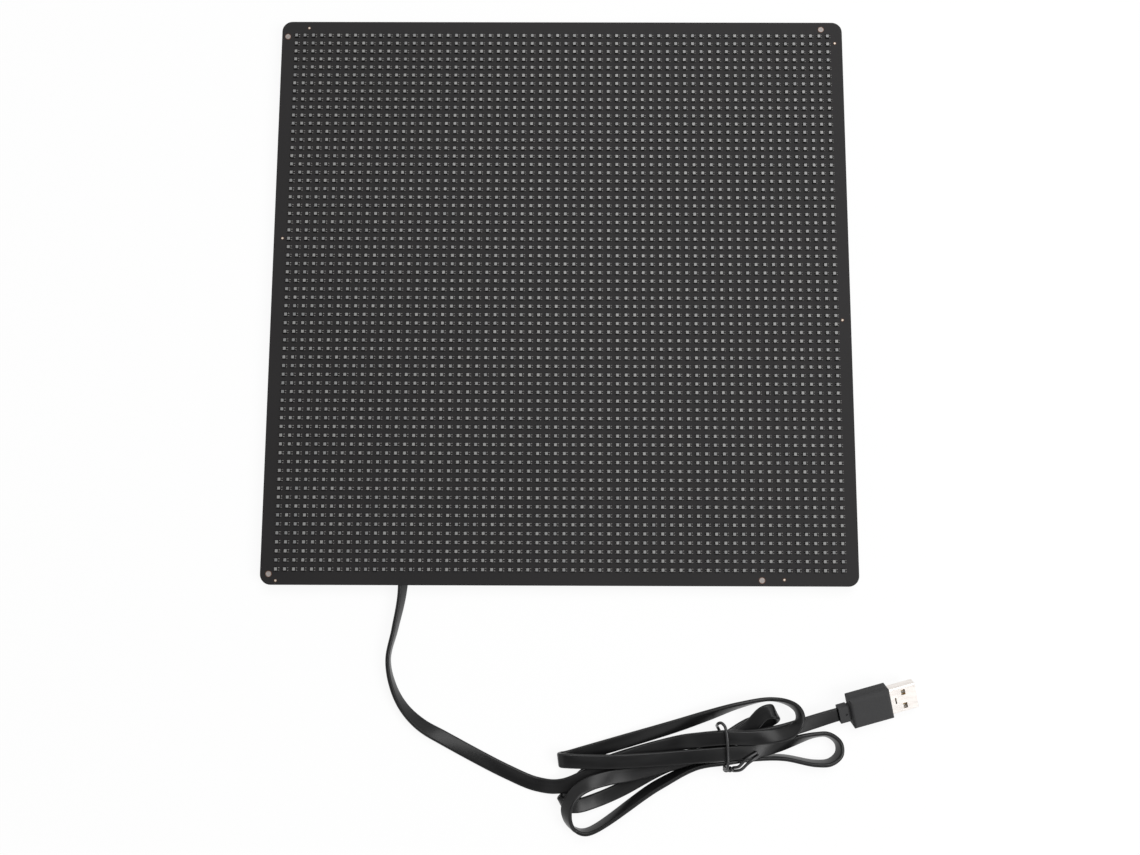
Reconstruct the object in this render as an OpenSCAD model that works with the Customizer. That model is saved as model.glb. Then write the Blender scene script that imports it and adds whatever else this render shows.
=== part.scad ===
// Flexible LED dot matrix: a square sheet of LEDs on a shallow controller case, with a flat USB cord.
// Millimetres, +Z up. The origin is on the surface it rests on, under the middle of the LED field.

/* [LED field] */
// LEDs along each side of the field
led_count = 64; // [16:1:72]
// Distance between LED centres
led_pitch = 4; // [3.6:0.1:5]
// Side of one square LED package
led_size = 1.8; // [1.2:0.1:2.4]
// Height of an LED package above the sheet
led_h = 0.7; // [0.4:0.1:1.2]

/* [Sheet] */
// Sheet edge to the centres of the outermost LEDs
edge_margin = 7; // [6:0.1:12]
// Thickness of the flexible circuit sheet
sheet_t = 0.5; // [0.2:0.1:1]
// Corner radius of the sheet
sheet_corner_r = 4.8; // [1:0.1:8]
// Diameter of the tinned corner pads
pad_d = 2.4; // [1.5:0.1:2.7]
// Diameter of the small gold alignment dots
dot_d = 0.9; // [0.6:0.1:1.3]
// Width of the copper ring around pads and dots
ring_w = 0.2; // [0.1:0.05:0.4]
// Height of pads, dots and rings above the sheet
metal_h = 0.06; // [0.04:0.01:0.2]

/* [Case] */
// Width of the controller case along X
case_w = 110; // [104:1:140]
// Depth of the controller case along Y
case_d = 70; // [66:1:100]
// Middle of the case from the middle of the sheet, along X
case_x = -30; // [-36:1:10]
// Middle of the case from the middle of the sheet, along Y
case_y = -20; // [-24:1:10]
// Corner radius of the case
case_corner_r = 4; // [2:0.5:6]
// Wall thickness of the case
wall = 1.4; // [1:0.1:2]
// Thickness of the top of the case
top_t = 1; // [0.8:0.1:1.6]
// Thickness of the cover plate under the case
cover_t = 1.2; // [1.2:0.1:2]
// Room for parts between the circuit board and the top
headroom = 2; // [2:0.1:4]
// Thickness of the adhesive between case and sheet
adhesive_t = 0.4; // [0.2:0.05:0.8]
// Case edge to the edge of the adhesive
adhesive_inset = 2; // [1:0.5:4]

/* [Controller board] */
// Board edge to the inside of the case wall, along X
board_gap_x = 7.6; // [7:0.1:9]
// Board edge to the inside of the case wall, along Y
board_gap_y = 8.6; // [8:0.1:9]
// Thickness of the controller board
board_t = 1; // [0.8:0.1:1.6]
// Height of the posts that the board lies on
post_h = 0.8; // [0.5:0.1:2]
// Diameter of the posts
post_d = 4.4; // [3:0.1:5]
// Diameter of the pins that locate the board
pin_d = 1.8; // [1.2:0.1:2.4]
// Board edge to the middle of a post
post_inset = 4; // [3:0.1:6]
// Gap around pins, tongues and other parts that slip in
fit_gap = 0.1; // [0.05:0.05:0.2]
// Side of the main chip
chip_size = 9; // [5:0.5:12]
// Height of the main chip
chip_h = 1; // [0.8:0.1:1.6]

/* [Screws] */
// Diameter of the screw shank
screw_d = 2; // [1.6:0.1:2.4]
// Diameter of the countersunk head
head_d = 3.8; // [3.2:0.1:4.4]
// Height of the countersunk head
head_h = 1.1; // [0.8:0.1:1.2]
// Inside of the case wall to the middle of a screw, in X and Y
screw_inset = 3; // [2.6:0.1:3.5]
// Diameter of the screw bosses
boss_d = 4.6; // [4:0.1:5]
// How far the screw goes into its boss
screw_depth = 3; // [2:0.1:3.4]

/* [Flexible tail] */
// Width of the tail from the sheet to the controller board
tail_w = 20; // [10:1:26]
// Thickness of the tail
tail_t = 0.3; // [0.15:0.05:0.4]
// Length bonded under the sheet
tail_bond = 8; // [4:0.5:9]
// Board edge to the place where the tail drops, outward
tail_drop = 2; // [1.5:0.1:3]
// Length of the connector along X
socket_l = 6; // [4:0.5:9]
// Height of the connector
socket_h = 1.8; // [1.4:0.1:2]

/* [Cord] */
// Width of the flat cord
cord_w = 6.2; // [5:0.1:6.6]
// Thickness of the flat cord
cord_t = 1.8; // [1.4:0.1:1.8]
// Width of the strain relief outside the case
gland_w = 9; // [8:0.1:12]
// Height of the strain relief
gland_h = 3.6; // [3:0.1:3.6]
// How far the strain relief stands out of the case
gland_out = 6; // [4:0.5:6]
// Length of the strain relief's flange inside the case
flange_l = 1.2; // [0.8:0.1:2]
// Diameter of the four wires inside the case
wire_d = 0.9; // [0.6:0.1:1]
// Distance between the wires
wire_pitch = 1.5; // [1.1:0.1:1.8]
// Diameter of the wire tie around the folded cord
tie_d = 1.3; // [1:0.1:1.3]

/* [USB plug] */
// How far the plug is rolled about its own length as it lies
plug_roll = 23.5; // [0:0.5:25]
// Length of the plug's grip
grip_l = 18.2; // [14:0.1:24]
// Width of the grip
grip_w = 15.4; // [14:0.1:18]
// Thickness of the grip
grip_t = 8; // [7:0.1:9]
// Rounding of the grip's long edges
grip_r = 2.5; // [1:0.1:3.4]
// Rounding of the grip's front and rear edges
grip_end_r = 1.4; // [0.5:0.1:2.4]
// Width of the neck where the cord goes in
neck_w = 8; // [7.4:0.1:12]
// Thickness of the neck
neck_t = 4.6; // [4:0.1:7]
// Length of the neck
neck_l = 4; // [2:0.5:8]
// Length of the narrow groove between grip and neck
groove_l = 1; // [0.5:0.1:2]
// Depth of the groove all round
groove_depth = 0.5; // [0.2:0.1:0.9]
// Width of the metal shell
shell_w = 12; // [11.9:0.05:12.1]
// Height of the metal shell
shell_h = 4.5; // [4.4:0.05:4.6]
// Thickness of the shell's sheet
shell_t = 0.3; // [0.2:0.05:0.4]
// Length of shell in front of the grip
shell_out = 11.7; // [11:0.1:13]
// Length of shell inside the grip
shell_in = 6; // [3:0.5:9]
// Length of the latch windows
window_l = 1.9; // [1.6:0.1:2.6]
// Width of the latch windows
window_w = 2.6; // [1.6:0.1:3]
// Distance between the two windows of a face
window_apart = 6.5; // [5:0.1:7]
// Shell tip to the middle of the windows
window_back = 5.6; // [4.5:0.1:6]
// Thickness of the contact tongue
tongue_t = 1.9; // [1.7:0.05:2]
// Shell tip to the end of the tongue
tongue_back = 0.7; // [0.3:0.1:2]
// Width of a contact
contact_w = 1; // [0.8:0.1:1.2]
// Length of a contact
contact_l = 7.2; // [5:0.1:8]

/* [Hidden] */
$fn = 48;
eps = 0.01;
field = (led_count - 1) * led_pitch;
sheet_w = field + 2 * edge_margin;
half = sheet_w / 2;

// Heights of the layers, from the floor up.
board_z = cover_t + post_h;
parts_z = board_z + board_t;
ceiling_z = parts_z + headroom;
case_z = ceiling_z + top_t;
sheet_z = case_z + adhesive_t;
led_z = sheet_z + sheet_t;

// The inside of the case, the board in it, and the places on it.
inner_w = case_w - 2 * wall;
inner_d = case_d - 2 * wall;
board_w = inner_w - 2 * board_gap_x;
board_d = inner_d - 2 * board_gap_y;
screw_x = inner_w / 2 - screw_inset;
screw_y = inner_d / 2 - screw_inset;
post_x = board_w / 2 - post_inset;
post_y = board_d / 2 - post_inset;
pin_up = 0.4;
shank_top = cover_t + screw_depth;
shank_spare = 0.2;
recess_d = 2.2;
recess_w = 0.5;
recess_h = 0.5;

// Tail, its slot and its connector.
tail_x = board_w / 2 + tail_drop;
slot_l = tail_t + 1.2;
socket_x = board_w / 2 - socket_l - 1;
socket_w = tail_w + 2;
tail_in = 4.5;
tail_low = parts_z + 0.8;

// Parts on the controller board, from its middle.
chip_at = [-2, -6];
module_at = [-30, 8];
module_size = [18, 13, 0.8];
can_size = [15, 11, 1.1];
capacitor_size = [7.3, 4.3, 1.8];
capacitor_x = -14;
capacitor_inset = 7.5;
capacitor_gap = 6;
capacitor_count = 4;

// Cord entry: the strain relief sits in a notch at the bottom of the case wall.
entry_x = -40;
entry_z = cover_t + gland_h / 2;
collar_w = gland_w - 1.4;
flange_w = gland_w + 1;
wall_y = case_y - case_d / 2;
wire_on_board = 3;
gland_slit = 0.8;
gland_slit_depth = 0.6;

// Tinned pads: in from the nearest side edge, then in from the nearest top or bottom edge.
pad_top_left = [2.8, 7.5];
pad_top_right = [9.9, 3.5];
pad_bottom_left = [3.8, 4.8];
pad_bottom_right = [43.1, 2.6];
pad_places = [
    from_corner(-1, 1, pad_top_left), from_corner(1, 1, pad_top_right),
    from_corner(-1, -1, pad_bottom_left), from_corner(1, -1, pad_bottom_right)
];

// Gold dots: in from the nearest corner, or in from a side edge at a height from the middle.
dot_top_left = [12.8, 3.2];
dot_top_right = [3.5, 10.4];
dot_bottom_left = [7, 1.9];
dot_bottom_right = [33.2, 2.9];
dot_left_in = 4;
dot_left_y = 26.2;
dot_right_in = 3.9;
dot_right_y = -12;
dot_places = [
    from_corner(-1, 1, dot_top_left), from_corner(1, 1, dot_top_right),
    from_corner(-1, -1, dot_bottom_left), from_corner(1, -1, dot_bottom_right),
    [-half + dot_left_in, dot_left_y], [half - dot_right_in, dot_right_y]
];
function from_corner(x, y, inset) = [x * (half - inset[0]), y * (half - inset[1])];

// Route of the flat cord, chosen by hand. Each point is the middle of the cord's section:
// [x, y, z, compass heading of the flat's edge, lean of that edge out of level].
route = [
    // out of the case, turning on its edge, and down to the floor
    [-70, -61, 3, 180, 0], [-70, -80, 1.4, 180, 0], [-70, -108, 2.2, 180, 22],
    [-70.1, -136, 3.4, 182, 68], [-72.9, -152, 3.4, 186, 82], [-75.6, -165.5, 3.3, 192, 90],
    [-73.2, -177, 3.3, 209, 80], [-68.2, -186.2, 3.2, 224, 64], [-60.6, -193.6, 2.8, 235, 42],
    [-50, -199.7, 1.9, 240, 18], [-22, -214, 1, 245, 0], [-9, -219, 1.2, 258, 0],
    // over the folded ends and through the tie, on top
    [2, -219.2, 3.5, 278, 0], [25, -208.9, 3.4, 295, 0], [40, -203.8, 3.7, 288, 0],
    [52, -201, 4.4, 281, 0], [62, -199.2, 7.5, 280, 0], [73, -198, 9.5, 276, 0],
    // the wide loop at the far right, standing on edge
    [85, -198, 9.8, 273, 0], [100.5, -195.2, 10.8, 298, 45], [104.4, -190.3, 11.2, 338, 69],
    [103.9, -186.2, 8.8, 15, 76], [99.8, -183.2, 5, 60, 80], [92.5, -182.1, 3.5, 90, 85],
    [79, -184.8, 3.4, 105, 70], [65, -189.3, 3, 108, 45], [51, -193.9, 2.5, 108, 28],
    [12, -205.4, 1.2, 106, 0],
    // folded back over itself at the left
    [3.5, -207.8, 1, 104, 0], [1.2, -208.1, 1.8, 100, 0], [0.5, -208.2, 3.8, 98, 0],
    [1.2, -208.3, 5.8, 96, 0], [3.5, -208.4, 6.6, 94, 0],
    // through the tie and around the teardrop loop at the right
    [22, -208.6, 6.7, 94, 0], [45, -207.3, 6.8, 96, 0], [73, -204.8, 7.9, 94, 0],
    [85, -203.8, 7.6, 95, 0], [96, -201.8, 4.5, 100, 30], [112, -197.4, 3.3, 102, 74],
    [118, -197.2, 3.3, 68, 78], [122.4, -200.6, 3.3, 15, 76], [122.6, -205.4, 3.3, 330, 74],
    [118.6, -208.9, 3.3, 290, 76], [112, -209.4, 3.3, 268, 78], [98, -207, 3.3, 263, 82],
    [85, -207.3, 3.4, 271, 84], [73, -208.9, 4.6, 275, 86], [60, -211, 3.3, 290, 80],
    // around the teardrop loop at the left
    [43, -219, 3.3, 300, 60], [12.4, -238.6, 3.3, 282, 77], [6.8, -237.4, 3.5, 45, 86],
    [4, -233, 7.1, 10, 65], [3.8, -227.2, 9.4, 2, 45], [7.6, -221.4, 9.2, 326, 40],
    [13.2, -217.9, 7.6, 305, 22], [22, -215.5, 6, 288, 3], [32, -214, 4.2, 284, 0],
    [66, -204.6, 3.4, 296, 0], [73, -200.6, 4.7, 298, 0],
    // folded back under itself at the right
    [83.4, -194.1, 4.9, 306, 0], [89.4, -188, 6.2, 308, 0], [92.9, -187, 6.2, 303, 0],
    [94.9, -188.3, 4.1, 296, 0], [94.3, -190, 2, 292, 0], [91.4, -191.6, 1.1, 295, 0],
    [84.4, -193.2, 1, 300, 0], [73, -199.6, 2.5, 305, 0], [66, -203.8, 1.3, 302, 0],
    [56, -207.4, 1, 297, 0], [44, -212.2, 1, 297, 0], [27, -221.2, 1, 298, 0],
    // folded under itself once more at the left
    [16, -225.6, 2.2, 288, 0], [8, -227.4, 4.9, 285, 0], [2.4, -226.9, 4.8, 300, 0],
    [1.7, -226.3, 3.2, 304, 0], [2.8, -225.2, 1.5, 312, 0], [4.8, -223, 1, 320, 0],
    // through the tie and on to the plug
    [10, -216.4, 1, 315, 0], [18, -211.2, 1.1, 300, 0], [52, -201, 2.2, 281, 0],
    [62, -199.2, 5.3, 280, 0], [73, -198, 7.2, 275, 0], [85, -197.6, 7.6, 273, 0],
    [96, -195.8, 6.7, 280, 0], [122.2, -188.2, 5.95, 285.4, -23.5]
];
cord_end = route[len(route) - 1];

// The tie: two tails, a twist, and a ring around the bundle.
tie_ring = [
    [72.6, -211.7, 1.2], [72.9, -209.4, 0.72], [73, -203, 0.7], [71, -196.5, 0.75], [69.7, -194, 1.6],
    [69.1, -193.1, 6], [69.3, -192, 9.6], [70.3, -191.6, 11.6], [71.6, -192.8, 12.6],
    [72.4, -195.6, 12.1], [72.9, -200.4, 11.4], [73.2, -205, 10.2], [73.2, -208.9, 9.5], [72.9, -211.5, 7.3]
];
tie_tail_a = [[78, -210.3, 8], [80.8, -207.2, 9.8], [86, -204, 9.5]];
tie_tail_b = [[79, -211.8, 6.8], [82, -208.6, 9.6], [86.8, -205.4, 9.5]];
twist_from = [72.4, -212.1, 3.3];
twist_to = [76.3, -211.8, 4.7];
twist_turns = 1.25;
twist_steps = 10;

// Plug, in its own frame: +X out of the shell, the front of the grip at x = 0, its middle at z = 0.
plug_turn = 15.4;
plug_back = grip_l + groove_l + neck_l;
plug_z = (grip_w / 2 - grip_r) * sin(plug_roll) + (grip_t / 2 - grip_r) * cos(plug_roll) + grip_r;
plug_at = [cord_end[0], cord_end[1], plug_z];
neck_r = 1;
groove_w = neck_w - 2 * groove_depth;
groove_t = neck_t - 2 * groove_depth;
shell_r = 0.5;
tip = shell_out;
seam_l = 0.6;
seam_w = 2.9;
seam_back = 9.4;
dimple_d = 1;
dimple_depth = 0.6;
dimple_back = 3;
tongue_w = shell_w - 2 * shell_t - 0.2;
tongue_top = tongue_t + shell_t - shell_h / 2;
contact_t = 0.15;
contact_back = 1.2;
contact_places = [-3.5, -1, 1, 3.5];

// Rectangle with round corners, centred.
module rounded_rect(w, d, r) {
    square([w - 2 * r, d], center = true);
    square([w, d - 2 * r], center = true);
    for (x = [-1, 1], y = [-1, 1])
        translate([x * (w / 2 - r), y * (d / 2 - r)])
            circle(r);
}

// Plate with round upright corners, from the height z up.
module rounded_plate(w, d, r, z, h) {
    translate([0, 0, z])
        linear_extrude(h)
            rounded_rect(w, d, r);
}

// Block centred in X and Y, from the height z up.
module block(w, d, z, h) {
    translate([-w / 2, -d / 2, z])
        cube([w, d, h]);
}

module in_case() {
    translate([case_x, case_y, 0])
        children();
}

// One copy at each of four corners, the same distance from the middle of the case.
module four_corners(x, y) {
    for (sx = [-1, 1], sy = [-1, 1])
        translate([sx * x, sy * y, 0])
            children();
}

function unit(v) = v / norm(v);
function square_to(v, axis) = unit(v - (v * axis) * axis);
function middle(p) = [p[0], p[1], p[2]];
function edge_dir(p) = [cos(p[3]) * cos(p[4]), sin(p[3]) * cos(p[4]), sin(p[4])];

// Direction of travel at point i: the mean of the two stretches that meet there.
function travel(points, i) =
    i == 0 ? unit(points[1] - points[0]) :
    i == len(points) - 1 ? unit(points[i] - points[i - 1]) :
    unit(unit(points[i] - points[i - 1]) + unit(points[i + 1] - points[i]));

// A side direction carried from point to point without twisting.
function carried(points, i, side) =
    i == len(points) ? [] :
    let (here = square_to(side, travel(points, i)))
    concat([here], carried(points, i + 1, here));

// The section laid square to the travel, with its own x along the side direction.
function ring(centre, along, side, section) =
    let (x = square_to(side, along), y = cross(along, x))
    [for (s = section) centre + s[0] * x + s[1] * y];

// Solid tube through a list of rings of equal count.
module tube(rings) {
    n = len(rings[0]);
    last = len(rings) - 1;
    points = [for (r = rings, p = r) p];
    sides = [
        for (i = [0:last - 1], k = [0:n - 1])
            let (a = i * n + k, b = i * n + (k + 1) % n)
            each [[a, a + n, b], [b, a + n, b + n]]
    ];
    back_end = [for (k = [0:n - 1]) k];
    front_end = [for (k = [n - 1:-1:0]) last * n + k];
    polyhedron(points, concat(sides, [back_end], [front_end]));
}

module flex_sheet() {
    color("#2b292a")
        rounded_plate(sheet_w, sheet_w, sheet_corner_r, sheet_z, sheet_t);
}

// Each row of packages as one bar, as long as the row and as wide and high as a package.
module led_rows() {
    color("#8f9090")
        for (i = [0:led_count - 1])
            translate([0, i * led_pitch - field / 2, 0])
                block(field + led_size, led_size, led_z, led_h);
}

module corner_pads() {
    color("#c9c9c6")
        for (p = pad_places)
            translate([p[0], p[1], led_z])
                cylinder(d = pad_d, h = metal_h);
}

module alignment_dots() {
    color("#d8b25a")
        for (p = dot_places)
            translate([p[0], p[1], led_z])
                cylinder(d = dot_d, h = metal_h);
}

module copper_ring(d) {
    difference() {
        cylinder(d = d + 2 * ring_w, h = metal_h);
        translate([0, 0, -metal_h])
            cylinder(d = d, h = 3 * metal_h);
    }
}

module copper_rings() {
    color("#8a4a26") {
        for (p = pad_places)
            translate([p[0], p[1], led_z])
                copper_ring(pad_d);
        for (p = dot_places)
            translate([p[0], p[1], led_z])
                copper_ring(dot_d);
    }
}

module adhesive_pad() {
    w = case_w - 2 * adhesive_inset;
    d = case_d - 2 * adhesive_inset;
    window_x = tail_x - tail_t - fit_gap;
    color("#dddddb")
        in_case()
            difference() {
                rounded_plate(w, d, case_corner_r - 1, case_z, adhesive_t);
                translate([window_x, -tail_w / 2 - 1, case_z - 1])
                    cube([tail_bond + tail_t + 1, tail_w + 2, adhesive_t + 2]);
            }
}

module case_shell() {
    color("#1c1c1d")
        in_case()
            difference() {
                union() {
                    difference() {
                        rounded_plate(case_w, case_d, case_corner_r, cover_t, case_z - cover_t);
                        rounded_plate(inner_w, inner_d, case_corner_r - wall, 0, ceiling_z);
                    }
                    four_corners(screw_x, screw_y)
                        translate([0, 0, cover_t])
                            cylinder(d = boss_d, h = ceiling_z - cover_t + eps);
                }
                four_corners(screw_x, screw_y)
                    cylinder(d = screw_d, h = shank_top + shank_spare);
                translate([tail_x - slot_l / 2 - tail_t / 2, -tail_w / 2 - fit_gap, ceiling_z - 1])
                    cube([slot_l, tail_w + 2 * fit_gap, top_t + 2]);
                translate([entry_x - collar_w / 2 - fit_gap, -case_d / 2 - 1, 0])
                    cube([collar_w + 2 * fit_gap, wall + 2, cover_t + gland_h + fit_gap]);
            }
}

module case_cover() {
    color("#202021")
        in_case()
            difference() {
                union() {
                    rounded_plate(case_w, case_d, case_corner_r, 0, cover_t);
                    four_corners(post_x, post_y) {
                        cylinder(d = post_d, h = board_z);
                        cylinder(d = pin_d, h = parts_z + pin_up);
                    }
                }
                four_corners(screw_x, screw_y) {
                    cylinder(d1 = head_d, d2 = screw_d, h = head_h);
                    translate([0, 0, -1])
                        cylinder(d = screw_d, h = cover_t + 2);
                }
            }
}

module cover_screws() {
    color("#b4b6b8")
        in_case()
            four_corners(screw_x, screw_y)
                difference() {
                    union() {
                        cylinder(d1 = head_d, d2 = screw_d, h = head_h);
                        cylinder(d = screw_d, h = shank_top);
                    }
                    block(recess_d, recess_w, -1, 1 + recess_h);
                    block(recess_w, recess_d, -1, 1 + recess_h);
                }
}

module controller_board() {
    color("#1f4d35")
        in_case()
            difference() {
                block(board_w, board_d, board_z, board_t);
                four_corners(post_x, post_y)
                    cylinder(d = pin_d + 2 * fit_gap, h = case_z);
            }
}

module main_chip() {
    color("#242425")
        in_case()
            translate(chip_at)
                block(chip_size, chip_size, parts_z, chip_h);
}

module wireless_module() {
    color("#b9bbbd")
        in_case()
            translate(module_at) {
                block(module_size[0], module_size[1], parts_z, module_size[2]);
                block(can_size[0], can_size[1], parts_z + module_size[2], can_size[2]);
            }
}

module capacitors() {
    capacitor_y = board_d / 2 - capacitor_inset - capacitor_size[0] / 2;
    color("#c48a3c")
        in_case()
            for (i = [0:capacitor_count - 1])
                translate([capacitor_x + i * (capacitor_size[1] + capacitor_gap), capacitor_y, 0])
                    block(capacitor_size[1], capacitor_size[0], parts_z, capacitor_size[2]);
}

module ribbon_connector() {
    color("#e8e4da")
        in_case()
            difference() {
                translate([socket_x, -socket_w / 2, parts_z])
                    cube([socket_l, socket_w, socket_h]);
                translate([socket_x + socket_l - tail_in, -tail_w / 2 - fit_gap, tail_low - fit_gap])
                    cube([tail_in + 1, tail_w + 2 * fit_gap, tail_t + 2 * fit_gap]);
            }
}

// Bonded under the sheet, down through the slot in the case, and back into the connector.
module flex_tail() {
    inner_end = socket_x + socket_l - tail_in + fit_gap;
    color("#b06a2a")
        in_case() {
            translate([tail_x - tail_t, -tail_w / 2, sheet_z - tail_t])
                cube([tail_bond + tail_t, tail_w, tail_t]);
            translate([tail_x - tail_t, -tail_w / 2, tail_low])
                cube([tail_t, tail_w, sheet_z - tail_low]);
            translate([inner_end, -tail_w / 2, tail_low])
                cube([tail_x - inner_end, tail_w, tail_t]);
        }
}

module cord_gland() {
    color("#191919")
        translate([case_x + entry_x, wall_y, entry_z])
            rotate([90, 0, 0])
                difference() {
                    union() {
                        linear_extrude(gland_out)
                            rounded_rect(gland_w, gland_h, 1);
                        translate([0, 0, -wall])
                            linear_extrude(wall)
                                square([collar_w, gland_h], center = true);
                        translate([0, 0, -wall - flange_l])
                            linear_extrude(flange_l)
                                square([flange_w, gland_h], center = true);
                    }
                    for (side = [-1, 1], z = [gland_out / 3, gland_out * 2 / 3])
                        translate([side * gland_w / 2, 0, z])
                            cube([2 * gland_slit_depth, gland_h + 1, gland_slit], center = true);
                }
}

module cord_wires() {
    start = wall + flange_l;
    board_edge = (case_d - board_d) / 2;
    run = board_edge + wire_on_board - start;
    color("#b23a2e")
        for (i = [0:3])
            translate([case_x + entry_x + (i - 1.5) * wire_pitch, wall_y + start, parts_z + wire_d / 2])
                rotate([-90, 0, 0])
                    cylinder(d = wire_d, h = run, $fn = 24);
}

// The flat cord, from the strain relief to the plug's neck.
module usb_cord() {
    last = len(route) - 1;
    points = [for (i = [0:last]) i == last ? plug_at : middle(route[i])];
    end_dir = [cos(plug_turn), sin(plug_turn), 0];
    x = cord_w / 2;
    y = cord_t / 2;
    bevel = cord_t / 4;
    section = [
        [x, y - bevel], [x - bevel, y], [bevel - x, y], [-x, y - bevel],
        [-x, bevel - y], [bevel - x, -y], [x - bevel, -y], [x, bevel - y]
    ];
    color("#1b1b1c")
        tube([
            for (i = [0:last])
                let (along = i == 0 ? [0, -1, 0] : i == last ? end_dir : travel(points, i))
                ring(points[i], along, edge_dir(route[i]), section)
        ]);
}

// Points of one of the two twisted strands; they start on opposite sides.
function strand(phase) =
    let (along = unit(twist_to - twist_from), x = square_to([0, 0, 1], along), y = cross(along, x))
    [
        for (i = [0:twist_steps])
            let (turn = phase + 360 * twist_turns * i / twist_steps)
            twist_from + (twist_to - twist_from) * i / twist_steps
                + (cos(turn) * x + sin(turn) * y) * (tie_d / 2 + 0.03)
    ];

function backwards(list) = [for (i = [len(list) - 1:-1:0]) list[i]];

module cord_tie() {
    path = concat(
        backwards(tie_tail_a), backwards(strand(180)), tie_ring, strand(0), tie_tail_b
    );
    sides = carried(path, 0, [0, 0, 1]);
    section = [for (k = [0:7]) [cos(45 * k), sin(45 * k)] * tie_d / 2];
    color("#161616")
        tube([for (i = [0:len(path) - 1]) ring(path[i], travel(path, i), sides[i], section)]);
}

module in_plug() {
    translate(plug_at)
        rotate([plug_roll, 0, plug_turn])
            translate([plug_back, 0, 0])
                children();
}

// Bar along X with a rounded section.
module rounded_bar(from, to, w, h, r) {
    translate([from, 0, 0])
        rotate([90, 0, 90])
            linear_extrude(to - from)
                rounded_rect(w, h, r);
}

// Block with every edge rounded, its front face at x = 0.
module grip() {
    intersection() {
        rounded_bar(-grip_l, 0, grip_w, grip_t, grip_r);
        translate([-grip_l / 2, 0, 0])
            rounded_plate(grip_l, grip_w, grip_end_r, -grip_t / 2, grip_t);
        translate([-grip_l / 2, grip_w / 2, 0])
            rotate([90, 0, 0])
                linear_extrude(grip_w)
                    rounded_rect(grip_l, grip_t, grip_end_r);
    }
}

module plug_body() {
    color("#1f1f20")
        in_plug()
            difference() {
                union() {
                    grip();
                    rounded_bar(-grip_l - groove_l, -grip_end_r, groove_w, groove_t, neck_r - groove_depth);
                    rounded_bar(-plug_back, -grip_l - groove_l, neck_w, neck_t, neck_r);
                }
                rounded_bar(-shell_in, 1, shell_w, shell_h, shell_r);
                translate([dimple_back - plug_back, 0, neck_t / 2 - dimple_depth])
                    cylinder(d = dimple_d, h = 1);
            }
}

module plug_shell() {
    color("#c8cacc")
        in_plug()
            difference() {
                rounded_bar(-shell_in, tip, shell_w, shell_h, shell_r);
                rounded_bar(
                    -shell_in - 1, tip + 1, shell_w - 2 * shell_t, shell_h - 2 * shell_t, shell_r - shell_t
                );
                for (side = [-1, 1])
                    translate([tip - window_back, side * window_apart / 2, 0])
                        cube([window_l, window_w, shell_h + 1], center = true);
                translate([tip - seam_back, 0, shell_h / 2])
                    cube([seam_l, seam_w, 2 * shell_h - 2], center = true);
            }
}

module plug_tongue() {
    color("#f0efe9")
        in_plug()
            translate([-shell_in, -tongue_w / 2, tongue_top - tongue_t])
                cube([tip + shell_in - tongue_back, tongue_w, tongue_t]);
}

module plug_contacts() {
    color("#d9b65c")
        in_plug()
            for (y = contact_places)
                translate([tip - tongue_back - contact_back - contact_l, y - contact_w / 2, tongue_top])
                    cube([contact_l, contact_w, contact_t]);
}

flex_sheet();
led_rows();
corner_pads();
copper_rings();
alignment_dots();
adhesive_pad();
case_shell();
case_cover();
cover_screws();
controller_board();
main_chip();
wireless_module();
capacitors();
ribbon_connector();
flex_tail();
cord_gland();
cord_wires();
usb_cord();
cord_tie();
plug_body();
plug_shell();
plug_tongue();
plug_contacts();
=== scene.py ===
"""Looks of a flexible LED dot matrix with a flat USB cord: finishes, LED packages, cord and tie."""
import math
import bpy
import numpy as np
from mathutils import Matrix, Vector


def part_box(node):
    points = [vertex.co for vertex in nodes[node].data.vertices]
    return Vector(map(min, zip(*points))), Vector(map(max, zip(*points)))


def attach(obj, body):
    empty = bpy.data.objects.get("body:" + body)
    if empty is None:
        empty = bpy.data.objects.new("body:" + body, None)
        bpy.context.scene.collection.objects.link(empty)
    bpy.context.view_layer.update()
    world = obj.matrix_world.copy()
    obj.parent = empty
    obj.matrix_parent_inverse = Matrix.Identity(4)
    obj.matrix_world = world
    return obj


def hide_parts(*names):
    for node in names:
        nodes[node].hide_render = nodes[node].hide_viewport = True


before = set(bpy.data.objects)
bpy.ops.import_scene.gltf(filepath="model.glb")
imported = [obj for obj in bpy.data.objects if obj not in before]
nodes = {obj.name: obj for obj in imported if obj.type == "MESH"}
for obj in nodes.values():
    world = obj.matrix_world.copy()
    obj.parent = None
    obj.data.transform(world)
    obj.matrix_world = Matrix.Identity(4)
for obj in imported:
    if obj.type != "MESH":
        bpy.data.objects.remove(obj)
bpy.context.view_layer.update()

MM = 0.001
ROOT = "root"

# ---------------------------------------------------------------- camera

CAMERA_AT = (6.5 * MM, -140.8 * MM, 536.1 * MM)
CAMERA_TURN = (8.439, 0.162, 0.192)
CAMERA_LENS = 37.38
CAMERA_SHIFT = (-0.00044, 0.00044)


def make_camera():
    """A camera above the sheet's near edge, tilted eight degrees from straight down."""
    data = bpy.data.cameras.new("camera")
    data.sensor_width = 36
    data.lens = CAMERA_LENS
    data.shift_x, data.shift_y = CAMERA_SHIFT
    data.clip_start = 0.01
    data.clip_end = 20
    camera = bpy.data.objects.new("camera", data)
    camera.location = CAMERA_AT
    camera.rotation_euler = [math.radians(a) for a in CAMERA_TURN]
    bpy.context.scene.collection.objects.link(camera)
    bpy.context.scene.camera = camera


make_camera()

# ---------------------------------------------------------------- mesh helpers


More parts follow.
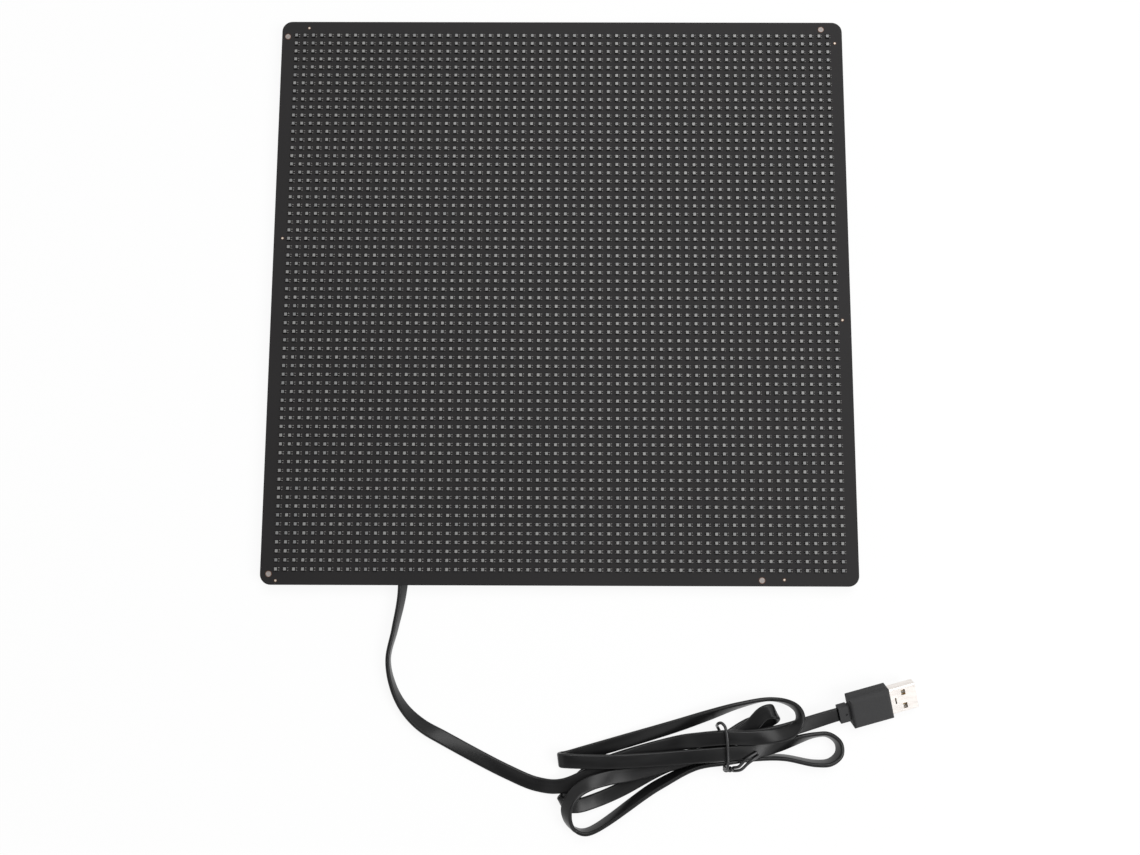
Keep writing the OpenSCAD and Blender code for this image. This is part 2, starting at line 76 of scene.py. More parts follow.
def put_mesh(name, points, quads, caps=(), smooth=True, uv=None):
    """A new object from an array of points, an array of quads and a few longer faces, at the origin."""
    mesh = bpy.data.meshes.new(name)
    faces = np.asarray(quads, np.int32)
    loops = np.concatenate([faces.ravel()] + [np.asarray(c, np.int32) for c in caps])
    sizes = [faces.shape[1]] * len(faces) + [len(c) for c in caps]
    sizes = np.array(sizes, np.int32)
    starts = np.concatenate([[0], np.cumsum(sizes)[:-1]]).astype(np.int32)
    mesh.vertices.add(len(points))
    mesh.vertices.foreach_set("co", np.ascontiguousarray(points, np.float32).ravel())
    mesh.loops.add(len(loops))
    mesh.loops.foreach_set("vertex_index", loops)
    mesh.polygons.add(len(sizes))
    mesh.polygons.foreach_set("loop_start", starts)
    mesh.polygons.foreach_set("loop_total", sizes)
    mesh.polygons.foreach_set("use_smooth", np.full(len(sizes), smooth))
    if uv is not None:
        layer = mesh.uv_layers.new(name="along_and_around")
        layer.data.foreach_set("uv", np.ascontiguousarray(uv, np.float32).ravel())
    mesh.update(calc_edges=True)
    mesh.validate()
    piece = bpy.data.objects.new(name, mesh)
    bpy.context.scene.collection.objects.link(piece)
    return piece


def tube_faces(rings, around):
    """Quads of a tube that face out: corner (i, k), then (i, k + 1), (i + 1, k + 1) and (i + 1, k)."""
    i, k = np.meshgrid(np.arange(rings - 1), np.arange(around), indexing="ij")
    here = i * around + k
    beside = i * around + (k + 1) % around
    return np.stack([here, beside, beside + around, here + around], -1).reshape(-1, 4)


def tube_uv(rings, around, step):
    """Per face corner: metres along the tube, and the share of the way around it."""
    i, k = np.meshgrid(np.arange(rings - 1), np.arange(around), indexing="ij")
    along = np.stack([i, i, i + 1, i + 1], -1) * step
    share = np.stack([k, k + 1, k + 1, k], -1) / around
    return np.stack([along, share], -1).reshape(-1, 2)


def row_length(v):
    """Length of each vector in the last axis, kept as an axis."""
    return np.linalg.norm(v, axis=-1, keepdims=True)


def smooth_line(points, step, first=None, last=None):
    """A smooth line through the points, and samples a fixed step apart along it.

    Knots lie apart by the square root of the distance between points. Between two knots the line is
    the cubic that meets both points with the slopes found from their neighbours. The first three
    columns are the place. Further columns are carried along as they are.
    """
    points = np.asarray(points, float)
    knots = np.concatenate([[0], np.cumsum(row_length(np.diff(points[:, :3], axis=0))[:, 0] ** 0.5)])
    gap = np.diff(knots)[:, None]
    chord = np.diff(points, axis=0) / gap
    inner = (chord[:-1] * gap[1:] + chord[1:] * gap[:-1]) / (gap[:-1] + gap[1:])
    slope = np.vstack([chord[:1], inner, chord[-1:]])
    if first is not None:
        slope[0, :3] = np.linalg.norm(slope[0, :3]) * np.asarray(first)
    if last is not None:
        slope[-1, :3] = np.linalg.norm(slope[-1, :3]) * np.asarray(last)

    def at(t):
        k = np.clip(np.searchsorted(knots, t, side="right") - 1, 0, len(gap) - 1)
        h = gap[k]
        u = (t[:, None] - knots[k][:, None]) / h
        return (
            (2 * u**3 - 3 * u**2 + 1) * points[k]
            + (u**3 - 2 * u**2 + u) * h * slope[k]
            + (3 * u**2 - 2 * u**3) * points[k + 1]
            + (u**3 - u**2) * h * slope[k + 1]
        )

    fine = np.linspace(0, knots[-1], 60 * len(points))
    run = np.concatenate([[0], np.cumsum(row_length(np.diff(at(fine)[:, :3], axis=0))[:, 0])])
    count = int(round(run[-1] / step))
    return at(np.interp(np.linspace(0, run[-1], count + 1), run, fine)), run[-1]


def directions(line, first=None, last=None):
    """Unit direction of travel at each point of a line, with the two ends as given."""
    way = np.gradient(line, axis=0)
    way /= row_length(way)
    if first is not None:
        way[0] = first
    if last is not None:
        way[-1] = last
    return way


def square_off(side, way):
    """The side vectors without their part along the way, at unit length."""
    side = side - (side * way).sum(-1, keepdims=True) * way
    return side / row_length(side)


def sweep(name, line, way, side, section, step):
    """The section carried along the line: point (i, k) is line i plus section k in side and up."""
    side = square_off(side, way)
    up = np.cross(way, side)
    rings = len(line)
    around = len(section)
    points = line[:, None] + section[None, :, :1] * side[:, None] + section[None, :, 1:] * up[:, None]
    back = np.arange(around)[::-1]
    front = (rings - 1) * around + np.arange(around)
    uv = np.vstack([tube_uv(rings, around, step), np.zeros((2 * around, 2))])
    return put_mesh(name, points.reshape(-1, 3), tube_faces(rings, around), [back, front], uv=uv)


# ---------------------------------------------------------------- cord

CORD_W = 6.2 * MM
CORD_T = 1.8 * MM
CORD_EDGE_R = 0.75 * MM
CORD_STEP = 0.75 * MM
PLUG_TURN = math.radians(15.4)

# Middle of the cord in millimetres, compass heading of the flat's edge, lean of that edge out of level.
ROUTE = [
    # out of the case, turning on its edge, and down to the floor
    (-70, -61, 3, 180, 0), (-70, -80, 1.4, 180, 0), (-70, -108, 2.2, 180, 22),
    (-70.1, -136, 3.4, 182, 68), (-72.9, -152, 3.4, 186, 82), (-75.6, -165.5, 3.3, 192, 90),
    (-73.2, -177, 3.3, 209, 80), (-68.2, -186.2, 3.2, 224, 64), (-60.6, -193.6, 2.8, 235, 42),
    (-50, -199.7, 1.9, 240, 18), (-22, -214, 1, 245, 0), (-9, -219, 1.2, 258, 0),
    # over the folded ends and through the tie, on top
    (2, -219.2, 3.5, 278, 0), (25, -208.9, 3.4, 295, 0), (40, -203.8, 3.7, 288, 0),
    (52, -201, 4.4, 281, 0), (62, -199.2, 7.5, 280, 0), (73, -198, 9.5, 276, 0),
    # the wide loop at the far right, standing on edge
    (85, -198, 9.8, 273, 0), (100.5, -195.2, 10.8, 298, 45), (104.4, -190.3, 11.2, 338, 69),
    (103.9, -186.2, 8.8, 15, 76), (99.8, -183.2, 5, 60, 80), (92.5, -182.1, 3.5, 90, 85),
    (79, -184.8, 3.4, 105, 70), (65, -189.3, 3, 108, 45), (51, -193.9, 2.5, 108, 28),
    (12, -205.4, 1.2, 106, 0),
    # folded back over itself at the left
    (3.5, -207.8, 1, 104, 0), (1.2, -208.1, 1.8, 100, 0), (0.5, -208.2, 3.8, 98, 0),
    (1.2, -208.3, 5.8, 96, 0), (3.5, -208.4, 6.6, 94, 0),
    # through the tie and around the teardrop loop at the right
    (22, -208.6, 6.7, 94, 0), (45, -207.3, 6.8, 96, 0), (73, -204.8, 7.9, 94, 0),
    (85, -203.8, 7.6, 95, 0), (96, -201.8, 4.5, 100, 30), (112, -197.4, 3.3, 102, 74),
    (118, -197.2, 3.3, 68, 78), (122.4, -200.6, 3.3, 15, 76), (122.6, -205.4, 3.3, 330, 74),
    (118.6, -208.9, 3.3, 290, 76), (112, -209.4, 3.3, 268, 78), (98, -207, 3.3, 263, 82),
    (85, -207.3, 3.4, 271, 84), (73, -208.9, 4.6, 275, 86), (60, -211, 3.3, 290, 80),
    # around the teardrop loop at the left
    (43, -219, 3.3, 300, 60), (12.4, -238.6, 3.3, 282, 77), (6.8, -237.4, 3.5, 45, 86),
    (4, -233, 7.1, 10, 65), (3.8, -227.2, 9.4, 2, 45), (7.6, -221.4, 9.2, 326, 40),
    (13.2, -217.9, 7.6, 305, 22), (22, -215.5, 6, 288, 3), (32, -214, 4.2, 284, 0),
    (66, -204.6, 3.4, 296, 0), (73, -200.6, 4.7, 298, 0),
    # folded back under itself at the right
    (83.4, -194.1, 4.9, 306, 0), (89.4, -188, 6.2, 308, 0), (92.9, -187, 6.2, 303, 0),
    (94.9, -188.3, 4.1, 296, 0), (94.3, -190, 2, 292, 0), (91.4, -191.6, 1.1, 295, 0),
    (84.4, -193.2, 1, 300, 0), (73, -199.6, 2.5, 305, 0), (66, -203.8, 1.3, 302, 0),
    (56, -207.4, 1, 297, 0), (44, -212.2, 1, 297, 0), (27, -221.2, 1, 298, 0),
    # folded under itself once more at the left
    (16, -225.6, 2.2, 288, 0), (8, -227.4, 4.9, 285, 0), (2.4, -226.9, 4.8, 300, 0),
    (1.7, -226.3, 3.2, 304, 0), (2.8, -225.2, 1.5, 312, 0), (4.8, -223, 1, 320, 0),
    # through the tie and on to the plug
    (10, -216.4, 1, 315, 0), (18, -211.2, 1.1, 300, 0), (52, -201, 2.2, 281, 0),
    (62, -199.2, 5.3, 280, 0), (73, -198, 7.2, 275, 0), (85, -197.6, 7.6, 273, 0),
    (96, -195.8, 6.7, 280, 0), (122.2, -188.2, 5.95, 285.4, -23.5),
]


def edge_vectors(heading, lean):
    """Unit vectors across the flat, from compass headings and leans in degrees."""
    heading = np.radians(heading)
    lean = np.radians(lean)
    return np.stack([np.cos(heading) * np.cos(lean), np.sin(heading) * np.cos(lean), np.sin(lean)], -1)


def flat_section(width, height, corner_r, per_corner):
    """A rectangle with round corners: the corner's centre plus its radius times cosine and sine."""
    angle = (np.arange(4)[:, None] * 90 + np.linspace(0, 90, per_corner)).ravel()
    corner = np.repeat(np.arange(4), per_corner)
    x = np.where((corner == 0) | (corner == 3), 1, -1) * (width / 2 - corner_r)
    y = np.where(corner < 2, 1, -1) * (height / 2 - corner_r)
    angle = np.radians(angle)
    return np.stack([x + corner_r * np.cos(angle), y + corner_r * np.sin(angle)], -1)


def make_cord():
    """The flat cord, from the strain relief to the plug's neck, as one swept ribbon."""
    route = np.array(ROUTE, float)
    route[:, :3] *= MM
    leaving = (0, -1, 0)
    arriving = (math.cos(PLUG_TURN), math.sin(PLUG_TURN), 0)
    columns = np.hstack([route[:, :3], edge_vectors(route[:, 3], route[:, 4])])
    samples, length = smooth_line(columns, CORD_STEP, leaving, arriving)
    line = samples[:, :3]
    way = directions(line, leaving, arriving)
    section = flat_section(CORD_W, CORD_T, CORD_EDGE_R, 6)
    cord = sweep("flat_cord", line, way, samples[:, 3:], section, CORD_STEP)
    return cord, line, length


# ---------------------------------------------------------------- tie

TIE_D = 1.3 * MM
TIE_STEP = 0.3 * MM
TIE_RING = [
    (72.6, -211.7, 1.2), (72.9, -209.4, 0.72), (73, -203, 0.7), (71, -196.5, 0.75),
    (69.7, -194, 1.6), (69.1, -193.1, 6), (69.3, -192, 9.6), (70.3, -191.6, 11.6), (71.6, -192.8, 12.6),
    (72.4, -195.6, 12.1), (72.9, -200.4, 11.4), (73.2, -205, 10.2), (73.2, -208.9, 9.5),
    (72.9, -211.5, 7.3),
]
TIE_TAIL_A = [(78, -210.3, 8), (80.8, -207.2, 9.8), (86, -204, 9.5)]
TIE_TAIL_B = [(79, -211.8, 6.8), (82, -208.6, 9.6), (86.8, -205.4, 9.5)]
TWIST_FROM = np.array((72.4, -212.1, 3.3))
TWIST_TO = np.array((76.3, -211.8, 4.7))
TWIST_TURNS = 1.25
TWIST_STEPS = 10
# A direction that the wire never runs along.
TIE_SIDE = (-0.49, -0.17, 0.86)


def twisted_strand(phase):
    """A helix about the line between the twist's ends, starting at the phase in degrees."""
    along = (TWIST_TO - TWIST_FROM) / np.linalg.norm(TWIST_TO - TWIST_FROM)
    x = square_off(np.array((0.0, 0, 1)), along)
    y = np.cross(along, x)
    share = np.linspace(0, 1, TWIST_STEPS + 1)[:, None]
    turn = np.radians(phase + 360 * TWIST_TURNS * share)
    reach = TIE_D / MM / 2 + 0.03
    return TWIST_FROM + (TWIST_TO - TWIST_FROM) * share + (np.cos(turn) * x + np.sin(turn) * y) * reach


def make_tie():
    """The wire tie: a tail, a twist, a ring around the folded cord, and back through the twist."""
    ends = TIE_TAIL_A[::-1], twisted_strand(180)[::-1], TIE_RING, twisted_strand(0), TIE_TAIL_B
    samples, _ = smooth_line(np.vstack(ends) * MM, TIE_STEP)
    angle = np.linspace(0, 2 * np.pi, 12, endpoint=False)
    section = np.stack([np.cos(angle), np.sin(angle)], -1) * TIE_D / 2
    side = np.tile(TIE_SIDE, (len(samples), 1))
    return sweep("wire_tie", samples, directions(samples), side, section, TIE_STEP)


# ---------------------------------------------------------------- LED packages

LED_PITCH = 4 * MM
LED_COUNT = 64
# Half sides and heights of the package's rings, as shares of its side and height, from the foot up.
LED_HALF_SIDES = ((0.5, 0.5), (0.5, 0.5), (0.47, 0.47), (0.36, 0.39), (0.35, 0.38))
LED_HEIGHTS = (0.0, 0.93, 1.0, 1.0, 0.95)
SOLDER_W = 0.4 * MM
SOLDER_RISE = 0.16 * MM
SOLDER_APART = 0.52 * MM
SOLDER_RIGHT = 0.62 * MM
SOLDER_LEFT = 0.28 * MM
SOLDER_LAP = 0.01 * MM


def led_unit(size, height):
    """One package: a box with a narrow bevel, a flat rim and a lens set a little below the rim.

    Each ring is a rectangle of half sides (a, b) at height z. Neighbouring rings are joined by four
    quads, and the first and the last ring are closed by one quad each.
    """
    half_sides = np.array(LED_HALF_SIDES) * size
    heights = np.array(LED_HEIGHTS) * height
    square = np.array(((1, 1), (-1, 1), (-1, -1), (1, -1)))
    flat = half_sides[:, None, :] * square
    level = np.broadcast_to(heights[:, None, None], (5, 4, 1))
    points = np.concatenate([flat, level], -1).reshape(-1, 3)
    i, k = np.meshgrid(np.arange(4), np.arange(4), indexing="ij")
    sides = np.stack([i * 4 + k, i * 4 + (k + 1) % 4, (i + 1) * 4 + (k + 1) % 4, (i + 1) * 4 + k], -1)
    quads = np.vstack([sides.reshape(-1, 4), [[3, 2, 1, 0]], [[16, 17, 18, 19]]])
    return points, quads


def led_places():
    """Middle of each package, from the field's middle, rows then columns."""
    steps = (np.arange(LED_COUNT) - (LED_COUNT - 1) / 2) * LED_PITCH
    x, y = np.meshgrid(steps, steps)
    return np.stack([x, y, np.zeros_like(x)], -1).reshape(-1, 1, 3)


def repeat_unit(name, points, quads, places):
    """The unit at each place: point j of copy i is place i plus point j."""
    copies = len(places)
    all_points = (places + points).reshape(-1, 3)
    all_quads = (np.arange(copies)[:, None, None] * len(points) + quads).reshape(-1, 4)
    return put_mesh(name, all_points, all_quads, smooth=False)


def package_size():
    """Side and height of one package, and the height of its foot, from the rows of the frame."""
    low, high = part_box("led_rows")
    return high.y - low.y - (LED_COUNT - 1) * LED_PITCH, high.z - low.z, low.z


def make_leds():
    """All LED packages as one piece: black sides and rim, grey lens."""
    size, height, foot = package_size()
    points, quads = led_unit(size, height)
    return repeat_unit("led_packages", points, quads, led_places() + np.array((0, 0, foot)))


def make_solder():
    """Four small tin fillets at each package: a wedge that falls from its side to the sheet.

    The two at the right reach further out than the two at the left.
    """
    size, _, foot = package_size()
    inner = size / 2 - SOLDER_LAP
    wedge = np.array([
        (0, -0.5, 0), (1, -0.45, 0), (1, 0.45, 0), (0, 0.5, 0),
        (0, -0.4, 1), (0.8, -0.3, 0.35), (0.8, 0.3, 0.35), (0, 0.4, 1),
    ])
    faces = np.array((
        (3, 2, 1, 0), (4, 5, 6, 7), (0, 1, 5, 4), (2, 3, 7, 6), (1, 2, 6, 5), (3, 0, 4, 7),
    ))
    right = wedge * (SOLDER_RIGHT, SOLDER_W, SOLDER_RISE) + (inner, 0, 0)
    left = wedge * (-SOLDER_LEFT, -SOLDER_W, SOLDER_RISE) - (inner, 0, 0)
    beside = (SOLDER_APART, -SOLDER_APART)
    points = np.vstack([part + (0, y, 0) for part in (right, left) for y in beside])
    quads = np.vstack([faces + len(wedge) * i for i in range(4)])
    return repeat_unit("solder_joints", points, quads, led_places() + np.array((0, 0, foot)))


# ---------------------------------------------------------------- materials


def new_material(name):
    """An empty material with a principled shader and an output."""
    material = bpy.data.materials.new(name)
    material.use_nodes = True
    tree = material.node_tree
    tree.nodes.clear()
    shader = tree.nodes.new("ShaderNodeBsdfPrincipled")
    output = tree.nodes.new("ShaderNodeOutputMaterial")
    tree.links.new(shader.outputs["BSDF"], output.inputs["Surface"])
    return material, tree, shader


def object_noise(tree, scale, detail=3.0, stretch=None):
    """Noise in the object's own metres, stretched by three factors if given."""
    place = tree.nodes.new("ShaderNodeTexCoord").outputs["Object"]
    if stretch:
        mapping = tree.nodes.new("ShaderNodeMapping")
        mapping.inputs["Scale"].default_value = stretch
        tree.links.new(place, mapping.inputs["Vector"])
        place = mapping.outputs["Vector"]
    noise = tree.nodes.new("ShaderNodeTexNoise")
    noise.inputs["Scale"].default_value = scale
    noise.inputs["Detail"].default_value = detail
    tree.links.new(place, noise.inputs["Vector"])
    return noise.outputs["Fac"]


def ramp_between(tree, factor, low_color, high_color, low=0.3, high=0.7):
    """A colour between two, as the factor goes from low to high."""
    ramp = tree.nodes.new("ShaderNodeValToRGB")
    ramp.color_ramp.elements[0].position = low
    ramp.color_ramp.elements[1].position = high
    ramp.color_ramp.elements[0].color = (*low_color, 1)
    ramp.color_ramp.elements[1].color = (*high_color, 1)
    tree.links.new(factor, ramp.inputs["Fac"])
    return ramp.outputs["Color"]


def vary_roughness(tree, shader, factor, low, high):
    """Roughness between low and high with the factor."""
    span = tree.nodes.new("ShaderNodeMapRange")
    span.inputs["To Min"].default_value = low
    span.inputs["To Max"].default_value = high
    tree.links.new(factor, span.inputs["Value"])
    tree.links.new(span.outputs["Result"], shader.inputs["Roughness"])


def add_bump(tree, shader, factor, strength, distance):
    """Bump of that height in metres."""
    bump = tree.nodes.new("ShaderNodeBump")
    bump.inputs["Strength"].default_value = strength
    bump.inputs["Distance"].default_value = distance
    tree.links.new(factor, bump.inputs["Height"])
    tree.links.new(bump.outputs["Normal"], shader.inputs["Normal"])


def grained(
    name, color, roughness, grain=900, spread=0.12, bump=0.3, height=0.03 * MM,
    metallic=0.0, specular=0.5,
):
    """A surface with a fine grain: colour, roughness and bump all follow the same noise."""
    material, tree, shader = new_material(name)
    shader.inputs["Metallic"].default_value = metallic
    shader.inputs["Specular IOR Level"].default_value = specular
    noise = object_noise(tree, grain)
    dark = [c * (1 - spread) for c in color]
    light = [min(1, c * (1 + spread)) for c in color]
    tree.links.new(ramp_between(tree, noise, dark, light), shader.inputs["Base Color"])
    vary_roughness(tree, shader, noise, max(0.02, roughness - 0.08), min(1, roughness + 0.08))
    add_bump(tree, shader, noise, bump, height)
    return material


def solder_mask():
    """Matte black lacquer over a fine weave, with a slow change of tone across the sheet."""
    material, tree, shader = new_material("solder_mask")
    shader.inputs["Specular IOR Level"].default_value = 0.2
    broad = object_noise(tree, 14, 2)
    fine = object_noise(tree, 2600, 2)
    tone = ramp_between(tree, broad, (0.0130, 0.0120, 0.0125), (0.0165, 0.0153, 0.0158), 0.35, 0.65)
    speck = ramp_between(tree, fine, (0.86, 0.86, 0.86), (1, 1, 1), 0.35, 0.6)
    mix = tree.nodes.new("ShaderNodeMix")
    mix.data_type = "RGBA"
    mix.blend_type = "MULTIPLY"
    mix.inputs["Factor"].default_value = 1
    tree.links.new(tone, mix.inputs["A"])
    tree.links.new(speck, mix.inputs["B"])
    tree.links.new(mix.outputs["Result"], shader.inputs["Base Color"])
    vary_roughness(tree, shader, broad, 0.5, 0.62)
    add_bump(tree, shader, fine, 0.25, 0.02 * MM)
    return material


def per_led_value(tree):
    """One random value for each package: white noise of the place, rounded down to the pitch."""
    place = tree.nodes.new("ShaderNodeTexCoord").outputs["Object"]
    cell = tree.nodes.new("ShaderNodeVectorMath")
    cell.operation = "SNAP"
    cell.inputs[1].default_value = (LED_PITCH, LED_PITCH, 1)
    tree.links.new(place, cell.inputs[0])
    white = tree.nodes.new("ShaderNodeTexWhiteNoise")
    white.noise_dimensions = "3D"
    tree.links.new(cell.outputs["Vector"], white.inputs["Vector"])
    return white.outputs["Value"]


def led_lens():
    """Milky grey resin, a little different from one package to the next."""
    material, tree, shader = new_material("led_lens")
    value = per_led_value(tree)
    tone = ramp_between(tree, value, (0.20, 0.202, 0.205), (0.285, 0.282, 0.277), 0, 1)
    tree.links.new(tone, shader.inputs["Base Color"])
    vary_roughness(tree, shader, object_noise(tree, 1800), 0.3, 0.42)
    return material


def cord_jacket():
    """Satin black jacket with faint lines drawn along it."""
    material, tree, shader = new_material("cord_jacket")
    shader.inputs["Specular IOR Level"].default_value = 0.27
    uv = tree.nodes.new("ShaderNodeUVMap")
    uv.uv_map = "along_and_around"
    mapping = tree.nodes.new("ShaderNodeMapping")
    mapping.inputs["Scale"].default_value = (60, 40, 1)
    tree.links.new(uv.outputs["UV"], mapping.inputs["Vector"])
    lines = tree.nodes.new("ShaderNodeTexNoise")
    lines.inputs["Scale"].default_value = 1
    lines.inputs["Detail"].default_value = 2
    tree.links.new(mapping.outputs["Vector"], lines.inputs["Vector"])
    tone = ramp_between(tree, lines.outputs["Fac"], (0.0065, 0.0065, 0.0068), (0.0105, 0.0105, 0.0108))
    tree.links.new(tone, shader.inputs["Base Color"])
    vary_roughness(tree, shader, lines.outputs["Fac"], 0.26, 0.38)
    add_bump(tree, shader, object_noise(tree, 1500), 0.15, 0.02 * MM)
    return material


def brushed_shell():
    """Bright nickel with rolling lines along the plug."""
    material, tree, shader = new_material("bright_nickel")
    shader.inputs["Metallic"].default_value = 1
    lines = object_noise(tree, 500, 3, (0.25, 2.2, 1))
    tone = ramp_between(tree, lines, (0.78, 0.735, 0.70), (0.90, 0.855, 0.82))
    tree.links.new(tone, shader.inputs["Base Color"])
    vary_roughness(tree, shader, lines, 0.28, 0.38)
    add_bump(tree, shader, lines, 0.05, 0.01 * MM)
    return material


def finishes():
    """Each node's own finish."""
    black_case = grained("case_plastic", (0.022, 0.022, 0.023), 0.55, 1100, 0.15, 0.5)
    return {
        "flex_sheet": solder_mask(),
        "corner_pads": grained(
            "tinned_pad", (0.31, 0.28, 0.265), 0.5, 1300, 0.25, 0.8, 0.06 * MM, metallic=0.2
        ),
        "copper_rings": grained("bare_copper", (0.13, 0.05, 0.02), 0.5, 1500, 0.2, metallic=0.4),
        "alignment_dots": grained("gold_plate", (0.62, 0.55, 0.47), 0.45, 1200, 0.06, metallic=0.2),
        "adhesive_pad": grained("foam_tape", (0.70, 0.70, 0.68), 0.85, 700, 0.06),
        "case_shell": black_case,
        "case_cover": black_case,
        "cover_screws": grained("zinc_screw", (0.50, 0.50, 0.51), 0.35, 600, 0.08, metallic=1),
        "controller_board": grained("green_mask", (0.015, 0.085, 0.04), 0.4, 500, 0.12),
        "main_chip": grained("chip_epoxy", (0.02, 0.02, 0.021), 0.6, 2000, 0.15),
        "wireless_module": grained("tinned_can", (0.55, 0.55, 0.56), 0.35, 300, 0.06, metallic=1),
        "capacitors": grained("moulded_amber", (0.50, 0.27, 0.05), 0.5, 900, 0.08),
        "ribbon_connector": grained("ivory_nylon", (0.78, 0.77, 0.72), 0.5, 600, 0.04),
        "flex_tail": grained("amber_film", (0.40, 0.16, 0.03), 0.35, 400, 0.08),
        "cord_gland": grained("gland_rubber", (0.018, 0.018, 0.018), 0.65, 1300, 0.15),
        "cord_wires": grained("wire_jacket", (0.42, 0.035, 0.03), 0.4, 800, 0.06),
        "plug_body": grained(
            "plug_overmould", (0.044, 0.044, 0.045), 0.7, 2200, 0.12, 0.4, specular=0.25
        ),
        "plug_shell": brushed_shell(),
        "plug_tongue": grained("tongue_nylon", (0.82, 0.80, 0.76), 0.5, 700, 0.04),
        "plug_contacts": grained("contact_gold", (0.80, 0.60, 0.30), 0.3, 900, 0.06, metallic=1),
    }


def dress(piece, *materials):
    """The piece with these materials in its slots, and no others."""
    piece.data.materials.clear()
    for material in materials:
        piece.data.materials.append(material)


def dress_leds(leds, package, lens):
    """Every package's last face takes the lens, the others the package."""
    dress(leds, package, lens)
    faces = len(leds.data.polygons) // LED_COUNT**2
    is_lens = np.tile(np.arange(faces) == faces - 1, LED_COUNT**2)
    leds.data.polygons.foreach_set("material_index", is_lens.astype(np.int32))


# ---------------------------------------------------------------- floor and light

FLOOR_HALF = 3.0
FLOOR_TONE = 0.92
FLOOR_WHITE = 1.02
FLOOR_SHADOW = 0.12
SOFT_LIGHT = 0.2
CEILING = 0.2
CEILING_FROM = 0.74
CEILING_TO = 0.94
LAMP_AIM = (0.05, -0.05, 0)
# Name, place, side in metres and power in watts.
LAMPS = (
    ("back_lamp", (0.35, 0.95, 2.2), 1.4, 28),
    ("right_lamp", (1.1, -0.55, 1.4), 0.9, 15.5),
)


def math_node(tree, operation, first, second):
    """One sum on two values or sockets."""
    node = tree.nodes.new("ShaderNodeMath")
    node.operation = operation
    for socket, value in zip(node.inputs, (first, second)):
        if isinstance(value, (int, float)):
            socket.default_value = value
        else:
            tree.links.new(value, socket)
    return node.outputs[0]


def make_floor():
    """A pale floor. Seen by the camera or in a reflection it is mostly white, and keeps the shadow."""
    corners = np.array(((-1, -1, 0), (1, -1, 0), (1, 1, 0), (-1, 1, 0)), float)
    points = corners * FLOOR_HALF
    floor = put_mesh("floor", points, [[0, 1, 2, 3]], smooth=False)
    material = bpy.data.materials.new("pale_floor")
    material.use_nodes = True
    tree = material.node_tree
    tree.nodes.clear()
    diffuse = tree.nodes.new("ShaderNodeBsdfDiffuse")
    diffuse.inputs["Color"].default_value = (*[FLOOR_TONE] * 3, 1)
    glow = tree.nodes.new("ShaderNodeEmission")
    glow.inputs["Color"].default_value = (1, 1, 1, 1)
    glow.inputs["Strength"].default_value = FLOOR_WHITE
    path = tree.nodes.new("ShaderNodeLightPath")
    seen = math_node(tree, "MAXIMUM", path.outputs["Is Camera Ray"], path.outputs["Is Glossy Ray"])
    seen = math_node(tree, "MAXIMUM", seen, path.outputs["Is Transmission Ray"])
    mix = tree.nodes.new("ShaderNodeMixShader")
    output = tree.nodes.new("ShaderNodeOutputMaterial")
    tree.links.new(math_node(tree, "MULTIPLY", seen, 1 - FLOOR_SHADOW), mix.inputs["Fac"])
    tree.links.new(diffuse.outputs[0], mix.inputs[1])
    tree.links.new(glow.outputs[0], mix.inputs[2])
    tree.links.new(mix.outputs[0], output.inputs["Surface"])
    dress(floor, material)


def area_light(name, place, aim, size, power):
    """A square soft light that faces a point."""
    data = bpy.data.lights.new(name, "AREA")
    data.shape = "SQUARE"
    data.size = size
    data.energy = power
    lamp = bpy.data.objects.new(name, data)
    lamp.location = place
    way = np.array(aim, float) - np.array(place, float)
    flat = math.hypot(way[0], way[1])
    lamp.rotation_euler = (math.atan2(flat, -way[2]), 0, math.atan2(way[1], way[0]) - math.pi / 2)
    bpy.context.scene.collection.objects.link(lamp)


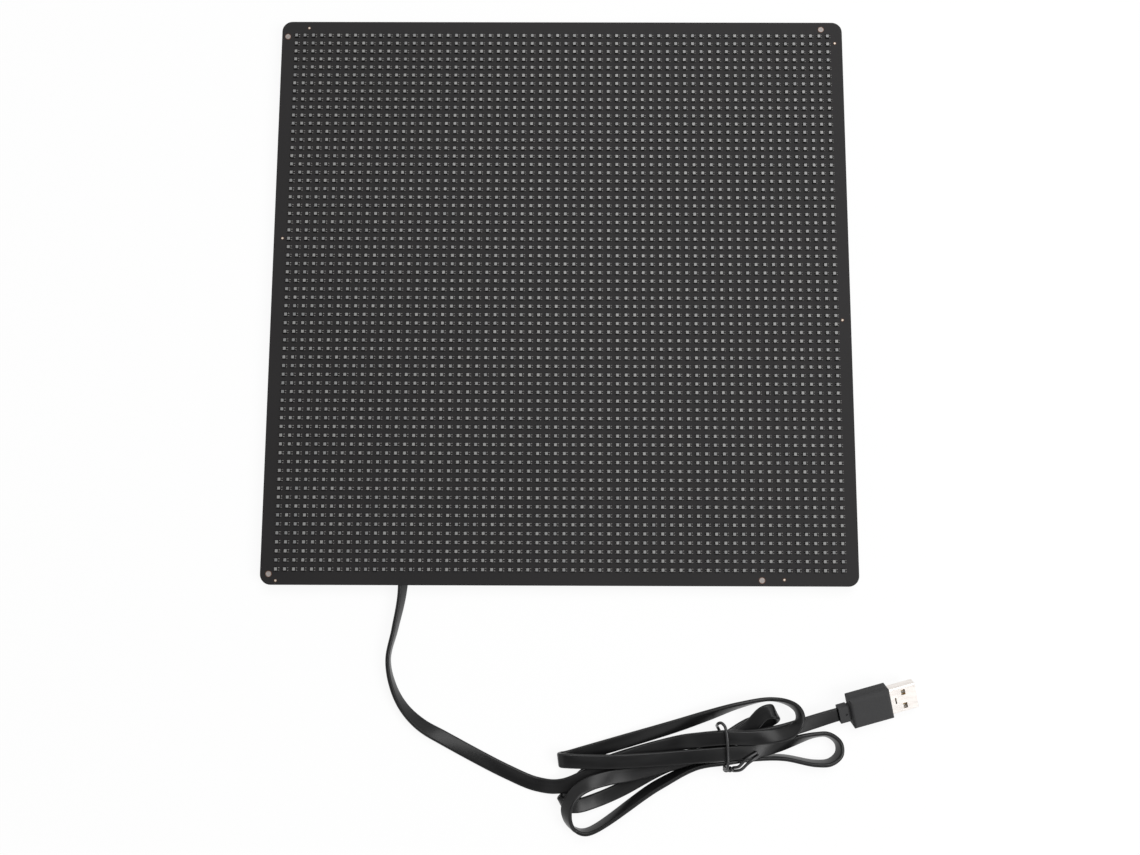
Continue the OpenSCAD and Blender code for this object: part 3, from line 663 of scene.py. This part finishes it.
def make_light():
    """A large lamp behind the sheet, one at the right, and an even surround.

    Reflections see white walls and a dim ceiling: strength falls from 1 to CEILING as the
    direction's height goes from CEILING_FROM to CEILING_TO.
    """
    world = bpy.data.worlds.new("surround")
    bpy.context.scene.world = world
    world.use_nodes = True
    tree = world.node_tree
    background = tree.nodes["Background"]
    background.inputs["Color"].default_value = (1, 1, 1, 1)
    path = tree.nodes.new("ShaderNodeLightPath")
    toward = tree.nodes.new("ShaderNodeTexCoord")
    height = tree.nodes.new("ShaderNodeSeparateXYZ")
    wall = tree.nodes.new("ShaderNodeMapRange")
    wall.interpolation_type = "SMOOTHSTEP"
    wall.inputs["From Min"].default_value = CEILING_FROM
    wall.inputs["From Max"].default_value = CEILING_TO
    wall.inputs["To Min"].default_value = 1
    wall.inputs["To Max"].default_value = CEILING
    tree.links.new(toward.outputs["Generated"], height.inputs[0])
    tree.links.new(height.outputs["Z"], wall.inputs["Value"])
    mirrored = math_node(tree, "MULTIPLY", path.outputs["Is Glossy Ray"], wall.outputs["Result"])
    seen = path.outputs["Is Camera Ray"], path.outputs["Is Transmission Ray"]
    seen = math_node(tree, "MAXIMUM", *seen)
    bright = math_node(tree, "MAXIMUM", seen, mirrored)
    tree.links.new(math_node(tree, "MAXIMUM", bright, SOFT_LIGHT), background.inputs["Strength"])
    for name, place, size, power in LAMPS:
        area_light(name, place, LAMP_AIM, size, power)


# ---------------------------------------------------------------- assembly

cord, cord_line, cord_length = make_cord()
tie = make_tie()
leds = make_leds()
solder = make_solder()

finish = finishes()
for node_name, material in finish.items():
    dress(nodes[node_name], material)
dress(cord, cord_jacket())
dress(tie, grained("tie_coating", (0.015, 0.015, 0.016), 0.3, 900, 0.1, 0.1))
package_epoxy = grained("package_epoxy", (0.006, 0.006, 0.006), 0.7, 3000, 0.1, specular=0.08)
dress_leds(leds, package_epoxy, led_lens())
dress(solder, grained("reflowed_tin", (0.13, 0.125, 0.12), 0.5, 2500, 0.08, metallic=0.4))

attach(cord, ROOT)
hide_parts("usb_cord")
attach(tie, ROOT)
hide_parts("cord_tie")
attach(leds, ROOT)
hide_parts("led_rows")
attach(solder, ROOT)

make_floor()
make_light()
bpy.context.scene.view_settings.view_transform = "Standard"
